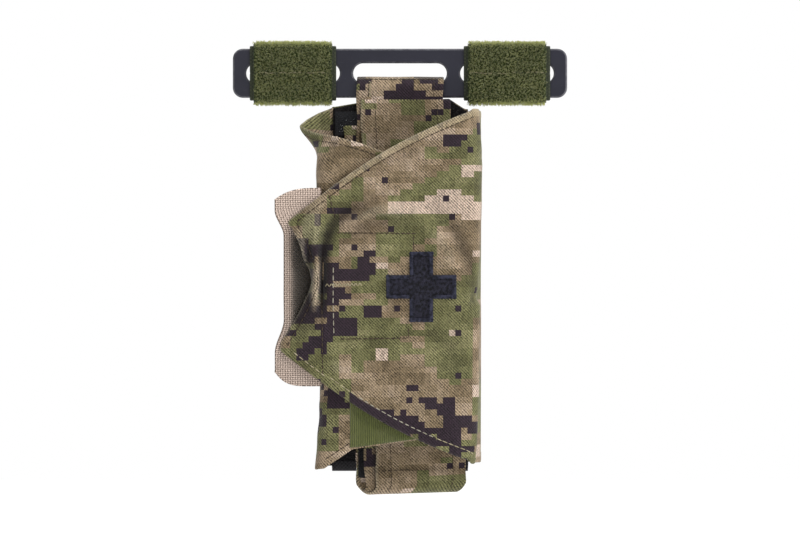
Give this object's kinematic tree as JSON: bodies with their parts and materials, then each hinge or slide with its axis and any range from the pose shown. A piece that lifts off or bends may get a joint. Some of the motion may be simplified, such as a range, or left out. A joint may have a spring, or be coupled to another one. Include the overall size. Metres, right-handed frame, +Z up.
{
  "type": "tourniquet pouch",
  "caption": "Windlass tourniquet in a hanging wrap pouch: two overlapping flaps with a rip handle, a closure strap, and a slotted bar with loop wraps.",
  "frame": {"origin": "middle of the hanger bar's length and height, on the plane that the backs of the two loop wraps share, where the part lies against what carries it", "axes": "+X to the right as seen from the front, +Z up, front towards -Y"},
  "size_m": [0.15, 0.0366, 0.2037],
  "materials": {
    "black_bar": "satin, black anodised",
    "green_loop_pile": "fuzzy loop pile",
    "camouflage_webbing": "woven, printed in a block pattern",
    "camouflage_cloth": "ripstop twill, printed in a block pattern",
    "black_loop_lining": "brushed loop lining",
    "black_binding": "grosgrain binding",
    "black_hook_tape": "moulded hooks on a woven tape",
    "black_embroidery": "satin stitch",
    "tan_webbing": "coarse plain-woven webbing",
    "tan_thread": "bar-tack stitching",
    "black_band": "hook and loop band",
    "black_plastic": "moulded, matte",
    "white_strap": "woven tape"
  },
  "bodies": {
    "bar": {"hanger_bar": "black_bar", "left_loop_wrap": "green_loop_pile", "right_loop_wrap": "green_loop_pile"},
    "pouch": {"hanger_strap": "camouflage_webbing", "back_panel": "camouflage_cloth", "back_lining": "black_loop_lining", "bottom_binding": "black_binding", "lining_hook_strip": "black_hook_tape", "outer_flap_root": "camouflage_cloth", "inner_flap_root": "camouflage_cloth", "adjuster_strap": "camouflage_webbing", "closure_strap": "camouflage_webbing"},
    "strap_tail": {"strap_tail": "camouflage_webbing", "tail_hook_patch": "black_hook_tape"},
    "outer_flap": {"outer_flap": "camouflage_cloth", "outer_flap_hook_field": "black_hook_tape", "outer_flap_top_hem": "camouflage_cloth", "outer_flap_bottom_hem": "camouflage_cloth", "cross_patch": "black_embroidery"},
    "grab_edge": {"grab_edge": "camouflage_cloth", "grab_handle": "tan_webbing", "handle_bartacks": "tan_thread"},
    "inner_flap": {"inner_flap": "camouflage_cloth", "inner_flap_loop_field": "green_loop_pile", "inner_flap_hem": "camouflage_cloth"},
    "tourniquet": {"band_loop": "black_band", "band_folds": "black_band", "inner_strap": "black_band", "base_plate": "black_plastic", "friction_buckle": "black_plastic", "windlass_rod": "black_plastic", "windlass_clip": "black_plastic", "time_strap": "white_strap"}
  },
  "joints": [
    {"name": "pouch_swing", "type": "hinge", "parent": "bar", "child": "pouch", "pos_m": [0, -0.0051, -0.00775], "axis": [-1, 0, 0], "range_deg": [0, 45]},
    {"name": "outer_flap_open", "type": "hinge", "parent": "pouch", "child": "outer_flap", "pos_m": [0.0371, -0.01783, -0.09], "axis": [0, 0, 1], "range_deg": [0, 170]},
    {"name": "inner_flap_open", "type": "hinge", "parent": "pouch", "child": "inner_flap", "pos_m": [-0.0371, -0.01783, -0.09], "axis": [0, 0, 1], "range_deg": [-119, 0]},
    {"name": "grab_edge_fold", "type": "hinge", "parent": "outer_flap", "child": "grab_edge", "pos_m": [-0.037, -0.03565, -0.095], "axis": [0, 0, 1], "range_deg": [0, 75]},
    {"name": "strap_tail_peel", "type": "hinge", "parent": "pouch", "child": "strap_tail", "pos_m": [0.0005, -0.0003, -0.184], "axis": [-1, 0, 0], "range_deg": [0, 150]},
    {"name": "tourniquet_slide", "type": "slide", "parent": "pouch", "child": "tourniquet", "axis": [0, 0, -1], "range_m": [0, 0.15]}
  ],
  "couplings": [
    {"joint": "inner_flap_open", "follows": "outer_flap_open", "ratio": -0.7}
  ]
}
